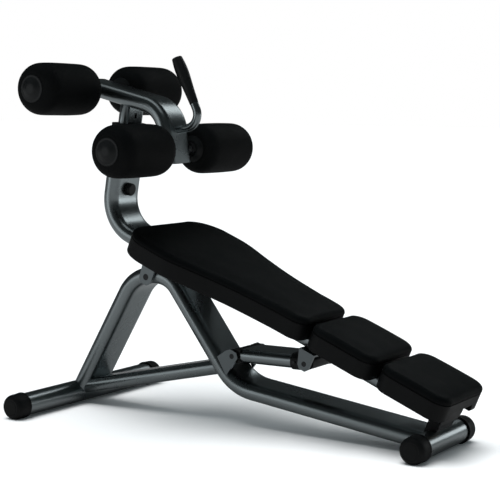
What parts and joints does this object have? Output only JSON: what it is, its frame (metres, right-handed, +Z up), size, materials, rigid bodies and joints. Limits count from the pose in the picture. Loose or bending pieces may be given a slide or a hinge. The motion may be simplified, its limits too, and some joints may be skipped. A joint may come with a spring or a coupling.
{
  "type": "adjustable weight bench",
  "caption": "Decline sit-up bench with padded tilting beam, foam leg rollers on a gooseneck, grab handle and telescoping strut on a welded oval-tube frame.",
  "frame": {"origin": "centre of the overall box at floor level", "axes": "+X along the bench towards the low end, +Y to the left of a sitter who faces the low end, +Z up"},
  "size_m": [1.3843, 0.734, 1.1126],
  "materials": {
    "frame_paint": "satin metallic",
    "black_rubber": "matt",
    "bright_steel": "satin",
    "black_steel": "satin",
    "black_plastic": "fine grain",
    "upholstery": "soft matt",
    "foam": "matt",
    "plywood": "plain",
    "nylon": "plain",
    "grip": "soft"
  },
  "bodies": {
    "frame": {"rear_foot_tube": "frame_paint", "front_foot_tube": "frame_paint", "foot_caps": "black_rubber", "rear_leg_tube": "frame_paint", "main_tube": "frame_paint", "brace_tube": "frame_paint", "pivot_sleeve": "bright_steel", "pivot_bushes": "nylon", "strut_lugs": "frame_paint", "strut_lower_pin": "black_steel"},
    "beam": {"beam_tube": "frame_paint", "beam_end_plug": "black_plastic", "beam_rest_block": "black_rubber", "pivot_bracket": "frame_paint", "pivot_pin": "black_steel", "strut_bracket": "frame_paint", "strut_upper_bolts": "black_steel", "main_pad_cushion": "upholstery", "main_pad_board": "plywood", "main_pad_shell": "black_plastic", "middle_pad_cushion": "upholstery", "middle_pad_board": "plywood", "middle_pad_shell": "black_plastic", "lower_pad_cushion": "upholstery", "lower_pad_board": "plywood", "lower_pad_shell": "black_plastic", "pad_bolts": "black_steel", "post_collar": "black_plastic", "pull_pin_barrel": "bright_steel", "pull_pin_spring": "bright_steel"},
    "strut_outer": {"strut_hinge_plug": "black_plastic", "strut_outer_tube": "frame_paint", "strut_collar": "black_plastic"},
    "strut_inner": {"strut_inner_tube": "frame_paint", "strut_slider": "nylon", "strut_eye": "black_plastic"},
    "strut_button": {"strut_lock_button": "black_steel"},
    "leg_support": {"inner_post": "frame_paint", "gooseneck_tube": "frame_paint", "gooseneck_top_plug": "black_plastic", "gooseneck_bottom_plug": "black_plastic", "roller_axles": "bright_steel", "axle_rings": "black_steel", "handle_tube": "bright_steel", "handle_grip": "grip"},
    "pull_pin": {"pull_pin_plunger": "bright_steel", "pull_pin_knob": "black_plastic"},
    "upper_left_roller": {"upper_left_roller_core": "nylon", "upper_left_roller_foam": "foam", "upper_left_roller_hubs": "black_plastic"},
    "upper_right_roller": {"upper_right_roller_core": "nylon", "upper_right_roller_foam": "foam", "upper_right_roller_hubs": "black_plastic"},
    "lower_left_roller": {"lower_left_roller_core": "nylon", "lower_left_roller_foam": "foam", "lower_left_roller_hubs": "black_plastic"},
    "lower_right_roller": {"lower_right_roller_core": "nylon", "lower_right_roller_foam": "foam", "lower_right_roller_hubs": "black_plastic"}
  },
  "joints": [
    {"name": "beam_tilt", "type": "hinge", "parent": "frame", "child": "beam", "pos_m": [-0.3505, 0, 0.434], "axis": [0, -1, 0], "range_deg": [0, 20]},
    {"name": "strut_swing", "type": "hinge", "parent": "frame", "child": "strut_outer", "pos_m": [-0.0335, 0, 0.218], "axis": [0, -1, 0], "range_deg": [0, 35.62]},
    {"name": "strut_extend", "type": "slide", "parent": "strut_outer", "child": "strut_inner", "axis": [0.9999, 0, 0.012], "range_m": [0, 0.1078]},
    {"name": "strut_button_press", "type": "slide", "parent": "strut_outer", "child": "strut_button", "axis": [0, 1, 0], "range_m": [0, 0.004], "stiffness_N_per_m": 600},
    {"name": "leg_support_height", "type": "slide", "parent": "beam", "child": "leg_support", "axis": [0.1599, 0, 0.9871], "range_m": [0, 0.035]},
    {"name": "pull_pin_travel", "type": "slide", "parent": "beam", "child": "pull_pin", "axis": [0.9871, 0, -0.1599], "range_m": [0, 0.004], "stiffness_N_per_m": 1500},
    {"name": "upper_left_roller_spin", "type": "hinge", "parent": "leg_support", "child": "upper_left_roller", "pos_m": [-0.5735, 0, 1.008], "axis": [0, 1, 0], "continuous": true},
    {"name": "upper_right_roller_spin", "type": "hinge", "parent": "leg_support", "child": "upper_right_roller", "pos_m": [-0.5735, 0, 1.008], "axis": [0, 1, 0], "continuous": true},
    {"name": "lower_left_roller_spin", "type": "hinge", "parent": "leg_support", "child": "lower_left_roller", "pos_m": [-0.2905, 0, 0.8265], "axis": [0, 1, 0], "continuous": true},
    {"name": "lower_right_roller_spin", "type": "hinge", "parent": "leg_support", "child": "lower_right_roller", "pos_m": [-0.2905, 0, 0.8265], "axis": [0, 1, 0], "continuous": true}
  ],
  "couplings": [
    {"joint": "strut_swing", "follows": "beam_tilt", "ratio": 1.7659},
    {"joint": "strut_extend", "follows": "beam_tilt", "m_per_rad": 0.30599}
  ]
}
